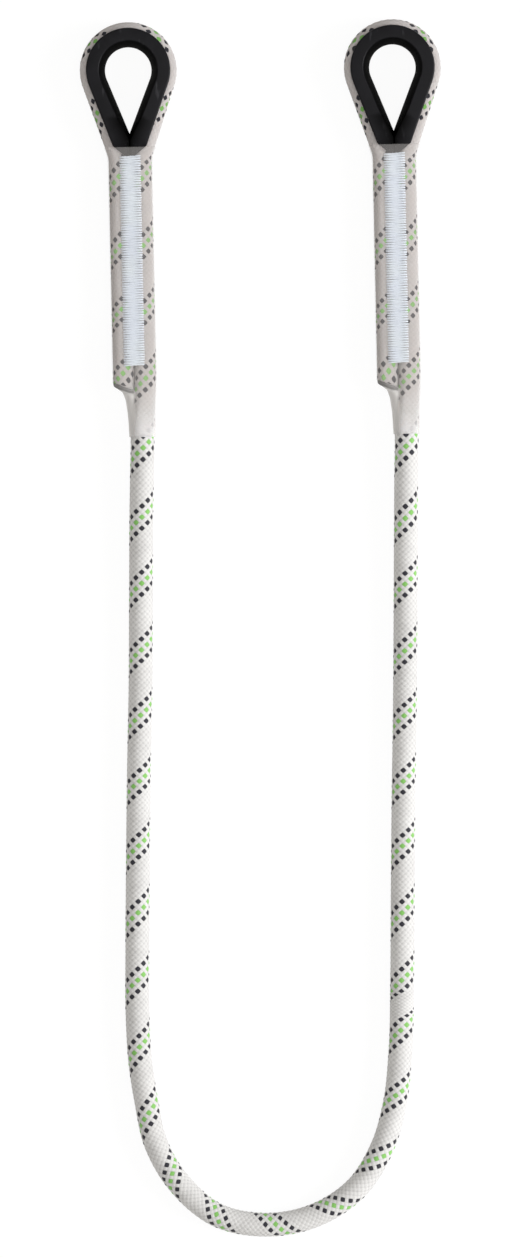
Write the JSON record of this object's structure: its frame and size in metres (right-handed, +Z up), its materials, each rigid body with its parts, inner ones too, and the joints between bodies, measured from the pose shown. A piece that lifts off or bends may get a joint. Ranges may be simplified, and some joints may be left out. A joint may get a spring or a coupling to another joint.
{
  "type": "restraint lanyard",
  "caption": "Rope lanyard lying in a U, with a sewn eye over a teardrop thimble at each end and a clear shrink sleeve over the seam.",
  "frame": {"origin": "midway between the two sewn ends, halfway along them, on the surface that the lanyard lies on", "axes": "+Y towards the eyes, along the sewn ends; +X from end a to end b; +Z up, away from the surface"},
  "size_m": [0.18, 0.6077, 0.0173],
  "materials": {
    "rope_sheath": "white braided polyamide with two black tracers and a plump green one between them",
    "rope_core": "undyed twisted polyamide yarn",
    "thimble": "black moulded polyamide, satin",
    "seam_thread": "bluish-white polyester sewing thread, dense rows",
    "sleeve": "milky see-through shrink tube"
  },
  "bodies": {
    "rope_run": {"run_sheath": "rope_sheath", "run_core": "rope_core"},
    "neck_a": {"swing_bend_sheath_a": "rope_sheath", "swing_bend_core_a": "rope_core", "neck_sheath_a": "rope_sheath", "neck_core_a": "rope_core", "lift_bend_sheath_a": "rope_sheath", "lift_bend_core_a": "rope_core"},
    "sewn_end_a": {"eye_rope_sheath_a": "rope_sheath", "eye_rope_core_a": "rope_core", "thimble_a": "thimble", "seam_front_a": "seam_thread", "seam_back_a": "seam_thread", "sleeve_a": "sleeve"},
    "neck_b": {"swing_bend_sheath_b": "rope_sheath", "swing_bend_core_b": "rope_core", "neck_sheath_b": "rope_sheath", "neck_core_b": "rope_core", "lift_bend_sheath_b": "rope_sheath", "lift_bend_core_b": "rope_core"},
    "sewn_end_b": {"eye_rope_sheath_b": "rope_sheath", "eye_rope_core_b": "rope_core", "thimble_b": "thimble", "seam_front_b": "seam_thread", "seam_back_b": "seam_thread", "sleeve_b": "sleeve"}
  },
  "joints": [
    {"name": "lift_a", "type": "hinge", "parent": "rope_run", "child": "neck_a", "pos_m": [-0.05968, -0.18513, 0.00613], "axis": [1, 0, 0], "range_deg": [-90, 90], "deforming": ["lift_bend_sheath_a", "lift_bend_core_a"]},
    {"name": "swing_a", "type": "hinge", "parent": "neck_a", "child": "sewn_end_a", "pos_m": [-0.05918, -0.12419, 0.00845], "axis": [0, 0, 1], "range_deg": [-10, 90], "deforming": ["swing_bend_sheath_a", "swing_bend_core_a"]},
    {"name": "lift_b", "type": "hinge", "parent": "rope_run", "child": "neck_b", "pos_m": [0.07263, -0.18363, 0.00614], "axis": [1, 0, 0], "range_deg": [-90, 90], "deforming": ["lift_bend_sheath_b", "lift_bend_core_b"]},
    {"name": "swing_b", "type": "hinge", "parent": "neck_b", "child": "sewn_end_b", "pos_m": [0.07291, -0.12269, 0.00845], "axis": [0, 0, -1], "range_deg": [-10, 90], "deforming": ["swing_bend_sheath_b", "swing_bend_core_b"]}
  ]
}
